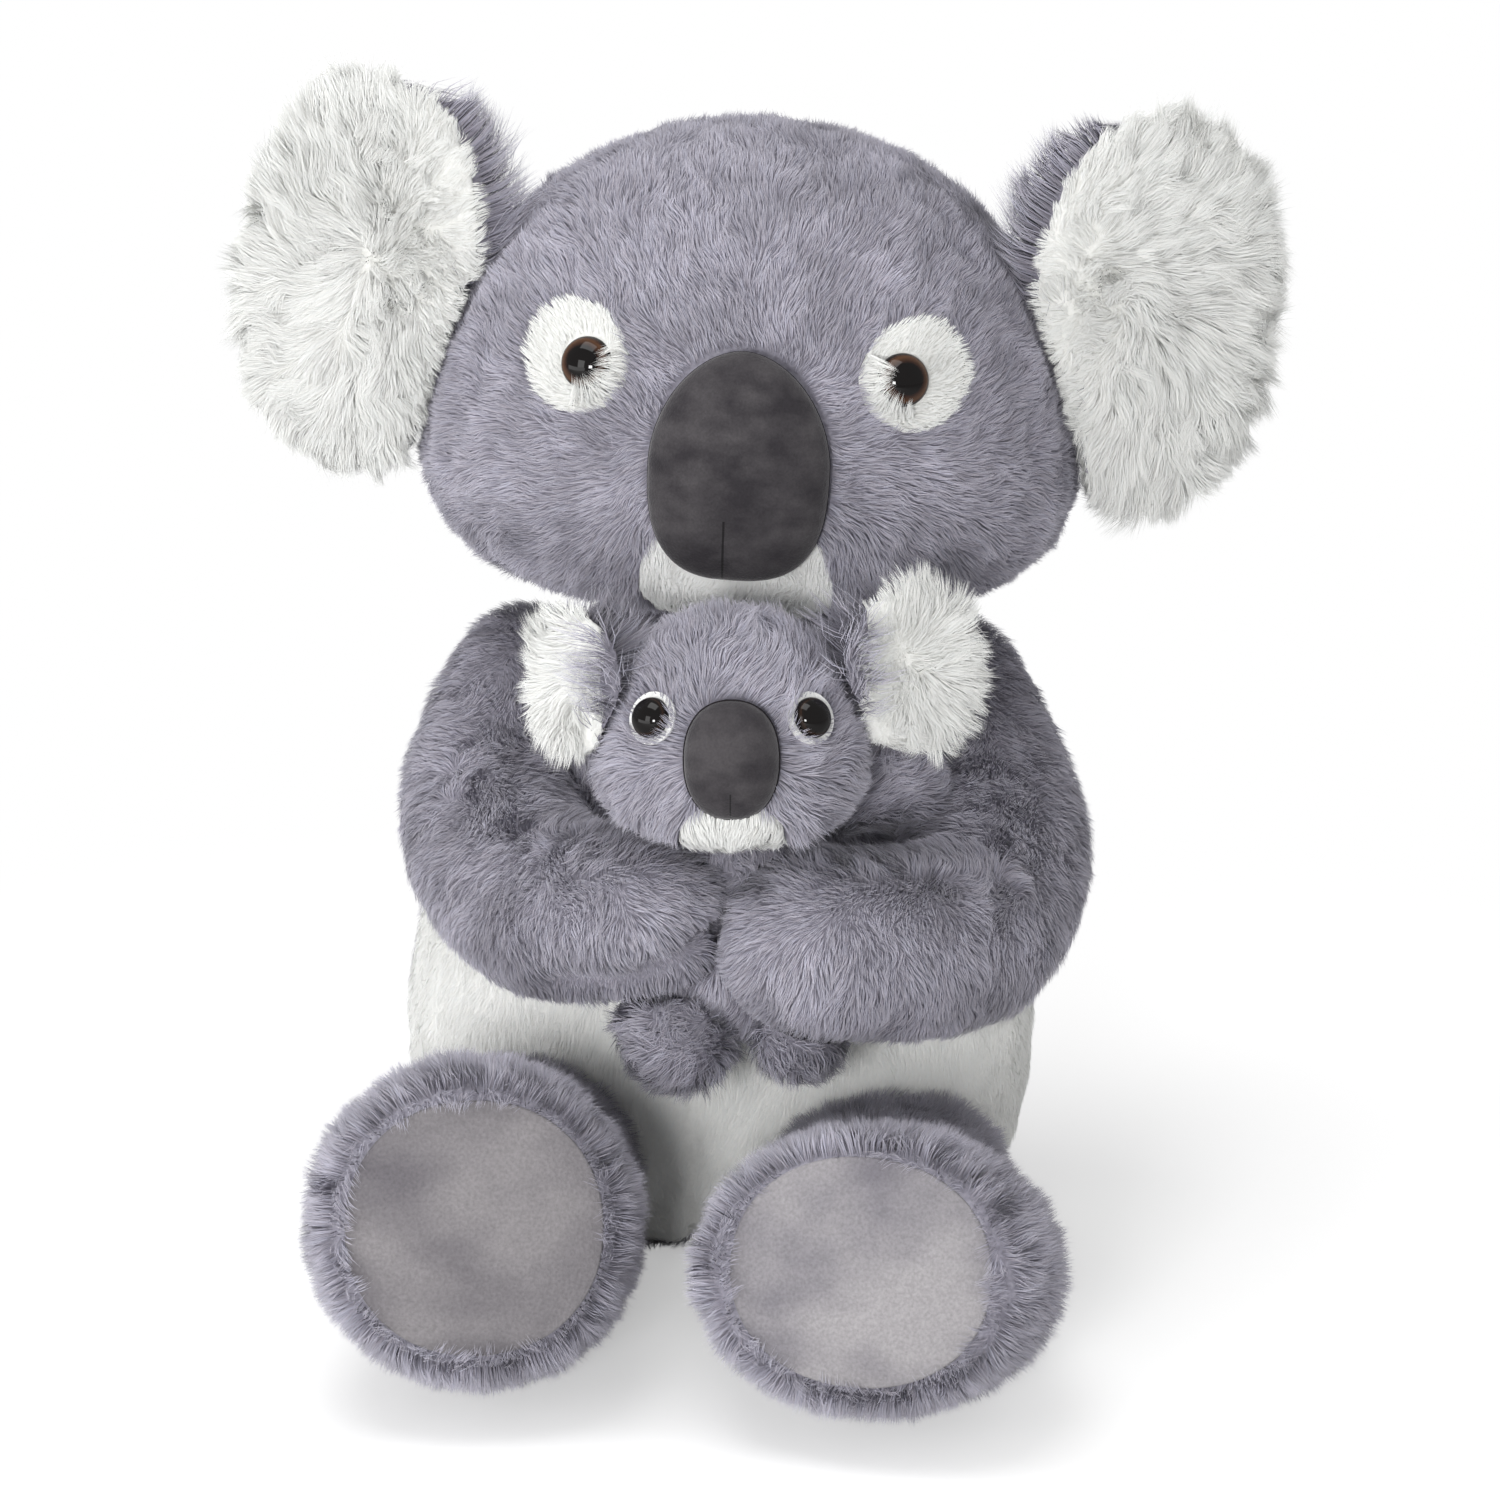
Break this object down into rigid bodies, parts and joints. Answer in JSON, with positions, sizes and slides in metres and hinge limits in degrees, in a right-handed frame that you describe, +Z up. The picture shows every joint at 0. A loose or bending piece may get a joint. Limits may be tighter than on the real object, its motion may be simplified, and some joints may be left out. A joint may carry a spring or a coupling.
{
  "type": "plush koala with baby",
  "caption": "Sitting plush koala with round white-fronted ears and velour soles that hugs a small baby koala against its white belly.",
  "frame": {"origin": "on the torso's flat seat, in the middle of its width", "axes": "+Z up, the koala faces -Y, +X is to the right of a person who faces it"},
  "size_m": [0.4756, 0.4623, 0.5591],
  "materials": {
    "grey_pile": "dense brushed pile about 8 mm long, mauve grey",
    "white_pile": "brushed pile, white, about 20 mm long on the ears and 6 mm elsewhere",
    "nose_velour": "short velour, charcoal",
    "sole_velour": "short velour, warm grey",
    "felt": "pressed felt, white",
    "eye_plastic": "clear gloss dome over a brown iris and a black pupil",
    "washer_plastic": "moulded, white"
  },
  "bodies": {
    "torso": {"torso": "grey_pile", "belly_panel": "white_pile", "baby_body": "grey_pile", "baby_head": "grey_pile", "baby_chin_patch": "white_pile", "baby_nose": "nose_velour", "baby_eye_ring_left": "felt", "baby_eye_ring_right": "felt", "baby_eye_left": "eye_plastic", "baby_eye_right": "eye_plastic", "baby_eye_washer_left": "washer_plastic", "baby_eye_washer_right": "washer_plastic", "baby_ear_back_left": "grey_pile", "baby_ear_back_right": "grey_pile", "baby_ear_front_left": "white_pile", "baby_ear_front_right": "white_pile", "baby_arm_left": "grey_pile", "baby_arm_right": "grey_pile", "baby_leg_left": "grey_pile", "baby_leg_right": "grey_pile"},
    "head": {"head": "grey_pile", "chin_patch": "white_pile", "nose": "nose_velour", "eye_patch_left": "white_pile", "eye_patch_right": "white_pile", "eye_left": "eye_plastic", "eye_right": "eye_plastic", "eye_washer_left": "washer_plastic", "eye_washer_right": "washer_plastic"},
    "ear_left": {"ear_front_left": "white_pile", "ear_back_left": "grey_pile"},
    "ear_right": {"ear_front_right": "white_pile", "ear_back_right": "grey_pile"},
    "arm_left": {"arm_left": "grey_pile"},
    "arm_right": {"arm_right": "grey_pile"},
    "leg_left": {"leg_left": "grey_pile", "sole_left": "sole_velour"},
    "leg_right": {"leg_right": "grey_pile", "sole_right": "sole_velour"}
  },
  "joints": [
    {"name": "head_tilt_back", "type": "hinge", "parent": "torso", "child": "head", "pos_m": [0, 0.0356, 0.31102], "axis": [-1, 0, 0], "range_deg": [0, 10], "stiffness_Nm_per_rad": 1},
    {"name": "ear_left_flap", "type": "hinge", "parent": "head", "child": "ear_left", "pos_m": [-0.10258, -0.03891, 0.46448], "axis": [-0.0454, 0, -0.999], "range_deg": [-12, 12], "stiffness_Nm_per_rad": 0.08},
    {"name": "ear_right_flap", "type": "hinge", "parent": "head", "child": "ear_right", "pos_m": [0.13456, -0.05052, 0.45371], "axis": [0.0454, 0, 0.999], "range_deg": [-12, 12], "stiffness_Nm_per_rad": 0.08},
    {"name": "arm_left_open", "type": "hinge", "parent": "torso", "child": "arm_left", "pos_m": [-0.08109, 0.03068, 0.26488], "axis": [0, 0, -1], "range_deg": [0, 25], "stiffness_Nm_per_rad": 0.5, "springref_deg": -5.73},
    {"name": "arm_right_open", "type": "hinge", "parent": "torso", "child": "arm_right", "pos_m": [0.08109, 0.03068, 0.26162], "axis": [0, 0, 1], "range_deg": [0, 25], "stiffness_Nm_per_rad": 0.5, "springref_deg": -5.73},
    {"name": "leg_left_spread", "type": "hinge", "parent": "torso", "child": "leg_left", "pos_m": [-0.14229, -0.06372, 0], "axis": [0, 0, -1], "range_deg": [0, 15], "stiffness_Nm_per_rad": 0.8},
    {"name": "leg_right_spread", "type": "hinge", "parent": "torso", "child": "leg_right", "pos_m": [0.14229, -0.06372, 0], "axis": [0, 0, 1], "range_deg": [0, 15], "stiffness_Nm_per_rad": 0.8}
  ]
}
